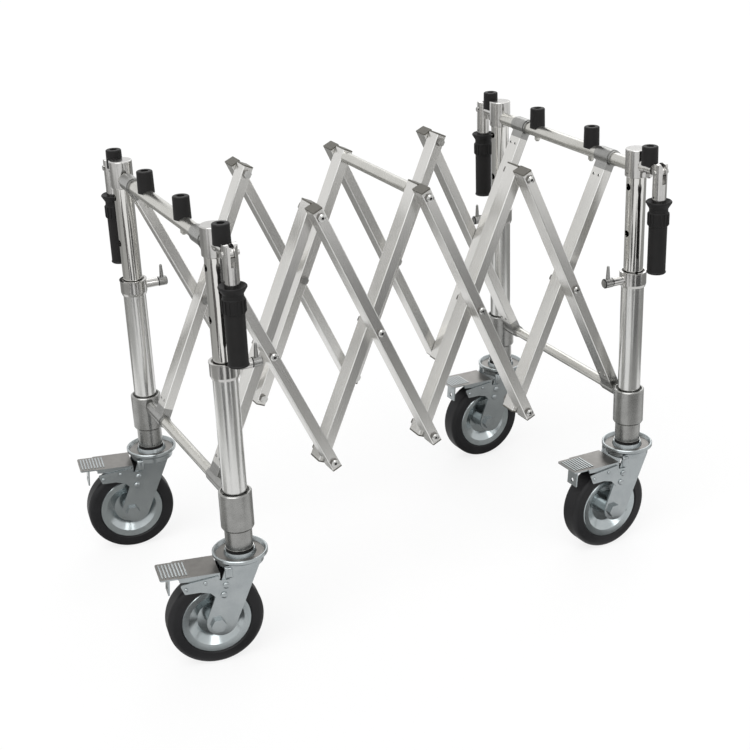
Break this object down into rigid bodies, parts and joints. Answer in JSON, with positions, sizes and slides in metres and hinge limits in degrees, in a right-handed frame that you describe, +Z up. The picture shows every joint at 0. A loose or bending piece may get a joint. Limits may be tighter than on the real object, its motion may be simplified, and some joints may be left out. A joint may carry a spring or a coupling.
{
  "type": "coffin church truck",
  "caption": "Folding wheeled trolley for carrying a coffin: scissor-lattice sides between two end frames with telescopic legs, swinging lift handles and braked swivel casters.",
  "frame": {"origin": "on the floor under the middle of the footprint", "axes": "+X from the front end to the rear end, +Y to the right side, +Z up"},
  "size_m": [0.9504, 0.6138, 0.754],
  "materials": {
    "bar_aluminium": "satin anodised",
    "chrome": "polished chrome",
    "cast_chrome": "chromed casting",
    "bolt_steel": "bright zinc-plated steel",
    "zinc_steel": "blue zinc-plated pressed steel",
    "rubber": "matt black rubber",
    "tyre_rubber": "black solid rubber"
  },
  "bodies": {
    "front_end": {"front_top_tube": "chrome", "front_leg_heads": "cast_chrome", "front_upper_tubes": "chrome", "front_bumpers": "rubber"},
    "rear_end": {"rear_top_tube": "chrome", "rear_leg_heads": "cast_chrome", "rear_upper_tubes": "chrome", "rear_bumpers": "rubber"},
    "outer_bar_1": {"outer_bars_1": "bar_aluminium", "pivot_bolts_1": "bolt_steel"},
    "inner_bar_1": {"inner_bars_1": "bar_aluminium"},
    "outer_bar_2": {"outer_bars_2": "bar_aluminium", "pivot_bolts_2": "bolt_steel"},
    "inner_bar_2": {"inner_bars_2": "bar_aluminium", "middle_cross_tube": "chrome"},
    "outer_bar_3": {"outer_bars_3": "bar_aluminium", "pivot_bolts_3": "bolt_steel"},
    "inner_bar_3": {"inner_bars_3": "bar_aluminium"},
    "outer_bar_4": {"outer_bars_4": "bar_aluminium", "pivot_bolts_4": "bolt_steel"},
    "inner_bar_4": {"inner_bars_4": "bar_aluminium"},
    "front_carriage": {"front_carriage": "zinc_steel"},
    "rear_carriage": {"rear_carriage": "zinc_steel"},
    "front_left_leg": {"front_left_lower_tube": "chrome", "front_left_clamp_ring": "cast_chrome"},
    "front_left_lever": {"front_left_clamp_lever": "cast_chrome"},
    "front_left_handle": {"front_left_handle": "chrome", "front_left_grip": "rubber"},
    "front_left_caster": {"front_left_caster_fork": "zinc_steel"},
    "front_left_wheel": {"front_left_wheel_rim": "zinc_steel", "front_left_tyre": "tyre_rubber"},
    "front_left_pedal": {"front_left_brake_pedal": "zinc_steel"},
    "front_right_leg": {"front_right_lower_tube": "chrome", "front_right_clamp_ring": "cast_chrome"},
    "front_right_lever": {"front_right_clamp_lever": "cast_chrome"},
    "front_right_handle": {"front_right_handle": "chrome", "front_right_grip": "rubber"},
    "front_right_caster": {"front_right_caster_fork": "zinc_steel"},
    "front_right_wheel": {"front_right_wheel_rim": "zinc_steel", "front_right_tyre": "tyre_rubber"},
    "front_right_pedal": {"front_right_brake_pedal": "zinc_steel"},
    "rear_left_leg": {"rear_left_lower_tube": "chrome", "rear_left_clamp_ring": "cast_chrome"},
    "rear_left_lever": {"rear_left_clamp_lever": "cast_chrome"},
    "rear_left_handle": {"rear_left_handle": "chrome", "rear_left_grip": "rubber"},
    "rear_left_caster": {"rear_left_caster_fork": "zinc_steel"},
    "rear_left_wheel": {"rear_left_wheel_rim": "zinc_steel", "rear_left_tyre": "tyre_rubber"},
    "rear_left_pedal": {"rear_left_brake_pedal": "zinc_steel"},
    "rear_right_leg": {"rear_right_lower_tube": "chrome", "rear_right_clamp_ring": "cast_chrome"},
    "rear_right_lever": {"rear_right_clamp_lever": "cast_chrome"},
    "rear_right_handle": {"rear_right_handle": "chrome", "rear_right_grip": "rubber"},
    "rear_right_caster": {"rear_right_caster_fork": "zinc_steel"},
    "rear_right_wheel": {"rear_right_wheel_rim": "zinc_steel", "rear_right_tyre": "tyre_rubber"},
    "rear_right_pedal": {"rear_right_brake_pedal": "zinc_steel"}
  },
  "joints": [
    {"name": "fold", "type": "hinge", "parent": "front_end", "child": "outer_bar_1", "pos_m": [-0.33725, 0, 0.711], "axis": [0, 1, 0], "range_deg": [-23.5, 14]},
    {"name": "crossing_1", "type": "hinge", "parent": "outer_bar_1", "child": "inner_bar_1", "pos_m": [-0.2415, 0, 0.498], "axis": [0, 1, 0], "range_deg": [-28, 47]},
    {"name": "top_pivot_1", "type": "hinge", "parent": "inner_bar_1", "child": "outer_bar_2", "pos_m": [-0.14575, 0, 0.711], "axis": [0, 1, 0], "range_deg": [-47, 28]},
    {"name": "crossing_2", "type": "hinge", "parent": "outer_bar_2", "child": "inner_bar_2", "pos_m": [-0.05, 0, 0.498], "axis": [0, 1, 0], "range_deg": [-28, 47]},
    {"name": "top_pivot_2", "type": "hinge", "parent": "inner_bar_2", "child": "outer_bar_3", "pos_m": [0.04575, 0, 0.711], "axis": [0, 1, 0], "range_deg": [-47, 28]},
    {"name": "crossing_3", "type": "hinge", "parent": "outer_bar_3", "child": "inner_bar_3", "pos_m": [0.1415, 0, 0.498], "axis": [0, 1, 0], "range_deg": [-28, 47]},
    {"name": "top_pivot_3", "type": "hinge", "parent": "inner_bar_3", "child": "outer_bar_4", "pos_m": [0.23725, 0, 0.711], "axis": [0, 1, 0], "range_deg": [-47, 28]},
    {"name": "crossing_4", "type": "hinge", "parent": "outer_bar_4", "child": "inner_bar_4", "pos_m": [0.333, 0, 0.498], "axis": [0, 1, 0], "range_deg": [-28, 47]},
    {"name": "rear_top_pivot", "type": "hinge", "parent": "inner_bar_4", "child": "rear_end", "pos_m": [0.42875, 0, 0.711], "axis": [0, 1, 0], "range_deg": [-23.5, 14]},
    {"name": "front_bottom_pivot", "type": "hinge", "parent": "inner_bar_1", "child": "front_carriage", "pos_m": [-0.33725, 0, 0.285], "axis": [0, 1, 0], "range_deg": [-23.5, 14]},
    {"name": "rear_bottom_pivot", "type": "hinge", "parent": "outer_bar_4", "child": "rear_carriage", "pos_m": [0.42875, 0, 0.285], "axis": [0, 1, 0], "range_deg": [-14, 23.5]},
    {"name": "front_left_leg_slide", "type": "slide", "parent": "front_end", "child": "front_left_leg", "axis": [0, 0, -1], "range_m": [0, 0.083]},
    {"name": "front_left_lever_turn", "type": "hinge", "parent": "front_left_leg", "child": "front_left_lever", "pos_m": [-0.33725, -0.221, 0.512], "axis": [1, 0, 0], "range_deg": [0, 120]},
    {"name": "front_left_handle_swing", "type": "hinge", "parent": "front_end", "child": "front_left_handle", "pos_m": [-0.33725, -0.2849, 0.716], "axis": [-1, 0, 0], "range_deg": [0, 90]},
    {"name": "front_left_swivel", "type": "hinge", "parent": "front_left_leg", "child": "front_left_caster", "pos_m": [-0.33725, -0.221, 0.2], "axis": [0, 0, 1], "continuous": true},
    {"name": "front_left_wheel_spin", "type": "hinge", "parent": "front_left_caster", "child": "front_left_wheel", "pos_m": [-0.38762, -0.21302, 0.08], "axis": [0.1564, 0.9877, 0], "continuous": true},
    {"name": "front_left_pedal_press", "type": "hinge", "parent": "front_left_caster", "child": "front_left_pedal", "pos_m": [-0.38318, -0.21373, 0.165], "axis": [-0.1564, -0.9877, 0], "range_deg": [0, 8]},
    {"name": "front_right_leg_slide", "type": "slide", "parent": "front_end", "child": "front_right_leg", "axis": [0, 0, -1], "range_m": [0, 0.083]},
    {"name": "front_right_lever_turn", "type": "hinge", "parent": "front_right_leg", "child": "front_right_lever", "pos_m": [-0.33725, 0.221, 0.512], "axis": [-1, 0, 0], "range_deg": [0, 120]},
    {"name": "front_right_handle_swing", "type": "hinge", "parent": "front_end", "child": "front_right_handle", "pos_m": [-0.33725, 0.2849, 0.716], "axis": [1, 0, 0], "range_deg": [0, 90]},
    {"name": "front_right_swivel", "type": "hinge", "parent": "front_right_leg", "child": "front_right_caster", "pos_m": [-0.33725, 0.221, 0.2], "axis": [0, 0, 1], "continuous": true},
    {"name": "front_right_wheel_spin", "type": "hinge", "parent": "front_right_caster", "child": "front_right_wheel", "pos_m": [-0.38762, 0.22898, 0.08], "axis": [0.1564, 0.9877, 0], "continuous": true},
    {"name": "front_right_pedal_press", "type": "hinge", "parent": "front_right_caster", "child": "front_right_pedal", "pos_m": [-0.38318, 0.22827, 0.165], "axis": [-0.1564, -0.9877, 0], "range_deg": [0, 8]},
    {"name": "rear_left_leg_slide", "type": "slide", "parent": "rear_end", "child": "rear_left_leg", "axis": [0, 0, -1], "range_m": [0, 0.083]},
    {"name": "rear_left_lever_turn", "type": "hinge", "parent": "rear_left_leg", "child": "rear_left_lever", "pos_m": [0.42875, -0.221, 0.512], "axis": [1, 0, 0], "range_deg": [0, 120]},
    {"name": "rear_left_handle_swing", "type": "hinge", "parent": "rear_end", "child": "rear_left_handle", "pos_m": [0.42875, -0.2849, 0.716], "axis": [-1, 0, 0], "range_deg": [0, 90]},
    {"name": "rear_left_swivel", "type": "hinge", "parent": "rear_left_leg", "child": "rear_left_caster", "pos_m": [0.42875, -0.221, 0.2], "axis": [0, 0, 1], "continuous": true},
    {"name": "rear_left_wheel_spin", "type": "hinge", "parent": "rear_left_caster", "child": "rear_left_wheel", "pos_m": [0.3778, -0.22323, 0.08], "axis": [-0.0436, 0.999, 0], "continuous": true},
    {"name": "rear_left_pedal_press", "type": "hinge", "parent": "rear_left_caster", "child": "rear_left_pedal", "pos_m": [0.38229, -0.22303, 0.165], "axis": [0.0436, -0.999, 0], "range_deg": [0, 8]},
    {"name": "rear_right_leg_slide", "type": "slide", "parent": "rear_end", "child": "rear_right_leg", "axis": [0, 0, -1], "range_m": [0, 0.083]},
    {"name": "rear_right_lever_turn", "type": "hinge", "parent": "rear_right_leg", "child": "rear_right_lever", "pos_m": [0.42875, 0.221, 0.512], "axis": [-1, 0, 0], "range_deg": [0, 120]},
    {"name": "rear_right_handle_swing", "type": "hinge", "parent": "rear_end", "child": "rear_right_handle", "pos_m": [0.42875, 0.2849, 0.716], "axis": [1, 0, 0], "range_deg": [0, 90]},
    {"name": "rear_right_swivel", "type": "hinge", "parent": "rear_right_leg", "child": "rear_right_caster", "pos_m": [0.42875, 0.221, 0.2], "axis": [0, 0, 1], "continuous": true},
    {"name": "rear_right_wheel_spin", "type": "hinge", "parent": "rear_right_caster", "child": "rear_right_wheel", "pos_m": [0.3778, 0.21877, 0.08], "axis": [-0.0436, 0.999, 0], "continuous": true},
    {"name": "rear_right_pedal_press", "type": "hinge", "parent": "rear_right_caster", "child": "rear_right_pedal", "pos_m": [0.38229, 0.21897, 0.165], "axis": [0.0436, -0.999, 0], "range_deg": [0, 8]}
  ],
  "couplings": [
    {"joint": "crossing_1", "follows": "fold", "ratio": -2},
    {"joint": "top_pivot_1", "follows": "fold", "ratio": 2},
    {"joint": "crossing_2", "follows": "fold", "ratio": -2},
    {"joint": "top_pivot_2", "follows": "fold", "ratio": 2},
    {"joint": "crossing_3", "follows": "fold", "ratio": -2},
    {"joint": "top_pivot_3", "follows": "fold", "ratio": 2},
    {"joint": "crossing_4", "follows": "fold", "ratio": -2},
    {"joint": "rear_top_pivot", "follows": "fold", "ratio": 1},
    {"joint": "front_bottom_pivot", "follows": "fold", "ratio": 1},
    {"joint": "rear_bottom_pivot", "follows": "fold", "ratio": -1}
  ]
}
